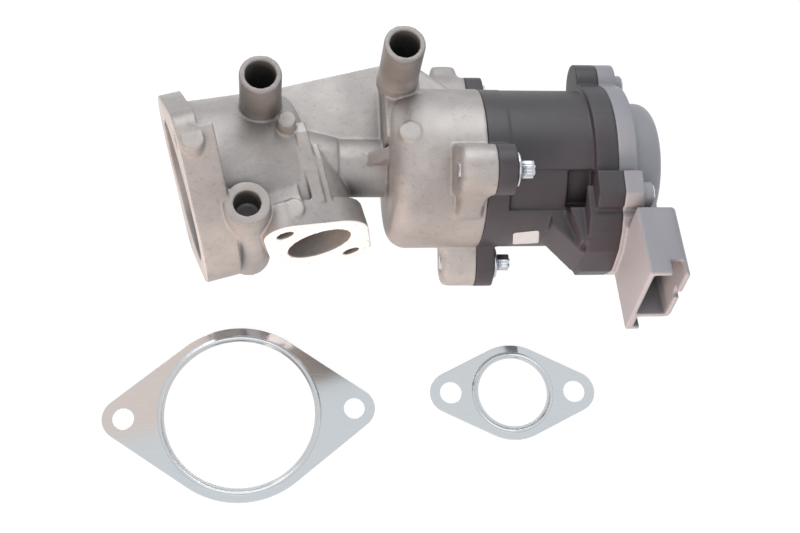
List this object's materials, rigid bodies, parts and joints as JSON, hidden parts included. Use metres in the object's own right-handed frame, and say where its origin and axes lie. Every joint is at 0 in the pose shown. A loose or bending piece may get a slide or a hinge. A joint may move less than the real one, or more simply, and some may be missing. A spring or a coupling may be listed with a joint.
{
  "type": "egr valve",
  "caption": "Electric exhaust gas recirculation valve: cast aluminium body with flanged ports and coolant spigots, bolted motor actuator with plug shroud, and loose steel gaskets.",
  "frame": {"origin": "centre of the large outlet port on its flange face", "axes": "+X along the valve and actuator axis, from the outlet towards the end cover; +Z along the two coolant spigots; +Y from the connector side towards the spigot web"},
  "size_m": [0.2264, 0.1825, 0.114],
  "materials": {
    "cast_aluminium": "as cast, fine grain",
    "valve_steel": "machined",
    "bush_bronze": "sintered",
    "seal_rubber": "satin",
    "spring_steel": "bright",
    "bearing_steel": "ground",
    "cam_polymer": "moulded",
    "magnet_black": "coated",
    "lamination": "varnished",
    "copper_winding": "enamelled",
    "black_plastic": "moulded, fine texture",
    "grey_plastic": "moulded, satin",
    "bright_zinc": "plated",
    "contact_tin": "tinned",
    "board_green": "coated",
    "sticker_white": "smooth",
    "gasket_steel": "rolled, bright"
  },
  "bodies": {
    "housing": {"valve_housing": "cast_aluminium", "valve_seat_ring": "valve_steel", "stem_guide_bush": "bush_bronze", "stem_seal": "seal_rubber", "guide_rods": "bearing_steel", "front_bearing": "bearing_steel", "rear_bearing": "bearing_steel", "stator_core": "lamination", "stator_coils": "copper_winding", "motor_end_plate": "valve_steel", "actuator_housing": "black_plastic", "housing_o_ring": "seal_rubber", "compression_sleeves": "bright_zinc", "actuator_bolts": "bright_zinc", "end_cover": "grey_plastic", "cover_screws": "bright_zinc", "connector_pins": "contact_tin", "sensor_board": "board_green", "label_sticker": "sticker_white"},
    "rotor": {"cam_barrel": "cam_polymer", "rotor_shaft": "bearing_steel", "rotor_core": "lamination", "rotor_magnets": "magnet_black", "sensor_magnet": "magnet_black"},
    "stem": {"poppet_valve": "valve_steel", "stem_carrier": "valve_steel", "cross_pin": "bearing_steel", "cam_rollers": "bearing_steel", "return_spring": "spring_steel"},
    "outlet_gasket": {"outlet_gasket": "gasket_steel"},
    "inlet_gasket": {"inlet_gasket": "gasket_steel"}
  },
  "joints": [
    {"name": "rotor_turn", "type": "hinge", "parent": "housing", "child": "rotor", "pos_m": [0.14, 0.0093, 0], "axis": [1, 0, 0], "range_deg": [0, 120]},
    {"name": "valve_lift", "type": "slide", "parent": "housing", "child": "stem", "axis": [-1, 0, 0], "range_m": [0, 0.007], "stiffness_N_per_m": 3000, "springref_m": -0.012, "deforming": ["return_spring"]},
    {"name": "outlet_gasket_lift", "type": "slide", "parent": "housing", "child": "outlet_gasket", "axis": [0, 0, 1], "range_m": [0, 0.03]},
    {"name": "inlet_gasket_lift", "type": "slide", "parent": "housing", "child": "inlet_gasket", "axis": [0, 0, 1], "range_m": [0, 0.03]}
  ],
  "couplings": [
    {"joint": "rotor_turn", "follows": "valve_lift", "rad_per_m": 299.2}
  ]
}
